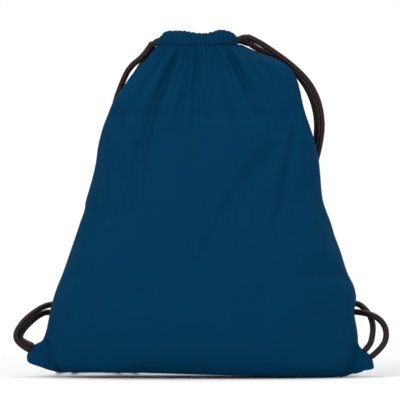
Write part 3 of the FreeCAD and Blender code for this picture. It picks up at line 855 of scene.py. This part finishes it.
def sewn(name, lines, tree, inputs):
    source = linkObject(name + "Row", polyline(name + "Row", lines))
    modifier = source.modifiers.new("sewing", "NODES")
    modifier.node_group = tree
    sockets = {s.name: s.identifier for s in tree.interface.items_tree if s.in_out == "INPUT"}
    for label, value in inputs.items():
        modifier[sockets[label]] = value
    bpy.context.view_layer.update()
    mesh = bpy.data.meshes.new_from_object(evaluated(source))
    mesh.name = name
    mesh.shade_smooth()
    bpy.data.objects.remove(source)
    return linkObject(name, mesh)


def onSurface(grid, x, z, lift):
    near = (grid[:, :, 0] - x) ** 2 + (grid[:, :, 2] - z) ** 2
    order = np.argsort(near, axis=None)[:6]
    weight = 1 / (near.ravel()[order] + 1e-9)
    y = float((grid[:, :, 1].ravel()[order] * weight).sum() / weight.sum())
    return (x, y + (lift if y > 0 else -lift), z)


def zigzag(outer, inner, turns):
    corners = []
    for k in range(turns + 1):
        share = k / turns
        edge = outer if k % 2 else inner
        corners.append([edge[0][i] + (edge[1][i] - edge[0][i]) * share for i in range(2)])
    return corners


stitchRows, threadLines = stitchRowTree(), threadLineTree()
threadSettings = {"radius": 0.00028, "lift": 0.00015, "turns": 17, "pitch": 0.0027, "length": 0.0022,
                  "channelTurns": 18, "channelTackFoot": 0.3658, "channelTackHeight": 0.0072, "channelTackWidth": 8}
cornerTacks = {"left": (((-.1864, .0270), (-.1812, .0342)), ((-.1843, .0255), (-.1791, .0327))),
               "right": (((.1858, .0196), (.1792, .0257)), ((.1840, .0177), (.1774, .0238)))}
sewnPieces = {}
for side, (outer, inner) in cornerTacks.items():
    corners = zigzag(outer, inner, threadSettings["turns"])
    lines = [[onSurface(grid, x, z, threadSettings["lift"]) for x, z in corners] for grid in panelGrids]
    sewnPieces[side + "CornerTacks"] = sewn(side + "CornerTacks", lines, threadLines,
                                            {"Thread Radius": threadSettings["radius"], "Thread": threadSurface})
for side, first, slant in (("left", 9, 26), ("right", -9, -12)):
    lines = []
    for grid, direction in zip(channelGrids, (-1, 1)):
        line = []
        for k in range(threadSettings["channelTurns"] + 1):
            up = k / threadSettings["channelTurns"]
            width = threadSettings["channelTackWidth"] * (1 if first > 0 else -1)
            place = grid[2 + round(up * 4), first + round(slant * up) + (k % 2) * width].copy()
            place[2] = threadSettings["channelTackFoot"] + threadSettings["channelTackHeight"] * up
            place[1] += direction * 0.0004
            line.append(place)
        lines.append(line)
    sewnPieces[side + "ChannelTacks"] = sewn(side + "ChannelTacks", lines, threadLines,
                                             {"Thread Radius": threadSettings["radius"], "Thread": threadSurface})
rowLines = []
for grid, direction in zip(channelGrids, (-1, 1)):
    line = grid[1, 4:-4].copy()
    line[:, 1] += direction * 0.0003
    rowLines.append(line)
for name, line in zip(("frontStitchRow", "backStitchRow"), rowLines):
    sewnPieces[name] = sewn(name, [line], stitchRows, {
        "Pitch": threadSettings["pitch"], "Stitch Length": threadSettings["length"],
        "Thread Radius": threadSettings["radius"], "Unevenness": 0.15, "Seed": 5, "Thread": threadSurface})

# overlocked allowances inside: a doubled strip along each seam, with the loops over its cut edge
seamSettings = {"width": 0.0066, "inset": 0.0022, "wall": 0.0011, "pitch": 0.003,
                "loopIn": 0.0045, "loopOver": 0.0003, "loopHalf": 0.00075, "loopTop": 0.0002}
frontGrid = panelGrids[0]
seamLines = {"leftSeam": frontGrid[12:148, 0], "rightSeam": frontGrid[12:148, -1], "bottomSeam": frontGrid[0, 6:-6]}
for name, line in seamLines.items():
    even, reach = evenLine(line, seamSettings["pitch"])
    if name == "bottomSeam":
        even[:, 2] = np.maximum(even[:, 2], 0) + 0.0026
        inwards = np.tile((0, 0, 1.0), (len(even), 1))
    else:
        sign = 1 if name == "leftSeam" else -1
        along = np.gradient(even, axis=0)
        along /= np.linalg.norm(along, axis=1)[:, None]
        inwards = np.cross(along, (0, -1.0, 0)) * -sign
        inwards *= np.sign(inwards[:, :1]) * sign
        even = even + inwards * seamSettings["inset"]
    even[:, 1] = 0
    wave = 0.0005 * np.sin(reach / 0.011) + 0.0003 * np.sin(reach / 0.0043)
    edge = even + inwards * seamSettings["width"]
    middle = (even + edge) / 2
    middle[:, 1] += wave
    edge[:, 1] += wave * 2
    grid = np.array([even, middle, edge])
    uvs = np.stack([np.tile(reach, (3, 1)), np.repeat([0, 0.0035, 0.007], len(reach)).reshape(3, -1)], axis=2)
    piece = linkObject(name, gridMesh(name, grid, uvs, flip=name == "rightSeam"))
    thicken(piece, seamSettings["wall"], 0)
    sewnPieces[name] = piece
    loops = []
    across, over = (0, seamSettings["loopHalf"], 0), (0, seamSettings["loopTop"], 0)
    for k in range(len(edge) - 1):
        top, low = edge[k] + inwards[k] * seamSettings["loopOver"], edge[k] - inwards[k] * seamSettings["loopIn"]
        step = (even[k + 1] - even[k]) * 0.5
        loops.append([low - across, top - over + step, top + over + step, low + across + step * 2])
    sewnPieces[name + "Overlock"] = sewn(name + "Overlock", loops, threadLines,
                                         {"Thread Radius": 0.0002, "Thread": threadSurface})
print("sewn:", len(sewnPieces))


# what rides on what
for piece in panelPieces + channelPieces:
    piece.data.materials.append(clothSurface)
    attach(piece, "bag")
    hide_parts(nodeName(piece.name))
seamNodes = {"leftSeam": "left_side_seam", "rightSeam": "right_side_seam", "bottomSeam": "bottom_seam"}
for name, piece in sewnPieces.items():
    if name in seamNodes:
        piece.data.materials.append(seamSurface)
    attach(piece, "bag")
    if name in seamNodes or name.endswith("Tacks"):
        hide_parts(seamNodes.get(name) or nodeName(name))
for piece in cordPieces:
    piece.data.materials.append(cordSurface)


# studio: a pale floor that melts into white, four soft lamps
studioSettings = {"floor": "F4F4F4", "half": 12, "level": -0.0004, "sky": 0.62, "fade": (0.35, 1.1)}
floorMaterial, tree, tones = newMaterial("paintedFloor", [studioSettings["floor"]])
floorShader = addNode(tree, "BsdfDiffuse", {"Color": tones[0], "Roughness": 0.5})
clear = addNode(tree, "BsdfTransparent")
reach = addNode(tree, "VectorMath", {"operation": "LENGTH"}, {0: addNode(tree, "TexCoord").outputs["Object"]})
fade = addNode(tree, "MapRange", {"interpolation_type": "SMOOTHSTEP", "From Min": studioSettings["fade"][0],
                "From Max": studioSettings["fade"][1]},
               {"Value": reach.outputs["Value"]})
soft = addNode(tree, "MixShader", None, {0: fade.outputs[0], 1: floorShader.outputs[0], 2: clear.outputs[0]})
addNode(tree, "OutputMaterial", None, {"Surface": soft.outputs[0]})
floorMesh = bpy.data.meshes.new("floor")
corners = [(-1, -1), (1, -1), (1, 1), (-1, 1)]
floorMesh.from_pydata([(studioSettings["half"] * x, studioSettings["half"] * y, studioSettings["level"])
                       for x, y in corners], [], [(0, 1, 2, 3)])
floorMesh.materials.append(floorMaterial)
floor = linkObject("floor", floorMesh)

world = bpy.data.worlds.new("studio")
scene.world = world
world.use_nodes = True
tree = world.node_tree
tree.nodes.clear()
rays = addNode(tree, "LightPath").outputs
seen = addNode(tree, "Math", {"operation": "MAXIMUM"}, {0: rays["Is Camera Ray"], 1: rays["Is Glossy Ray"]})
shown = addNode(tree, "Math", {"operation": "MAXIMUM"}, {0: seen.outputs[0], 1: rays["Is Transmission Ray"]})
strength = addNode(tree, "MapRange", {"To Min": studioSettings["sky"], "To Max": 1.0}, {"Value": shown.outputs[0]})
sky = addNode(tree, "Background", {"Color": (1, 1, 1, 1)}, {"Strength": strength.outputs[0]})
addNode(tree, "OutputWorld", None, {"Surface": sky.outputs[0]})


lamps = {                                   # place, size, m, and power, W
    "keyLamp": ((-1.1, -1.7, 1.1), 1.0, 14), "fillLamp": ((1.2, -1.9, 0.15), 1.2, 9),
    "topLamp": ((0.1, 0.1, 2.0), 1.0, 15), "backLamp": ((0.5, 1.9, 0.9), 1.2, 5),
}
for name, (place, size, power) in lamps.items():
    data = bpy.data.lights.new(name, "AREA")
    data.shape, data.size, data.energy = "DISK", size, power
    lamp = linkObject(name, data)
    lamp.location = place
    lamp.rotation_euler = (Vector((0, 0, 0.19)) - Vector(place)).to_track_quat("-Z", "Y").to_euler()
scene.view_settings.view_transform = "Standard"
print("studio lit")
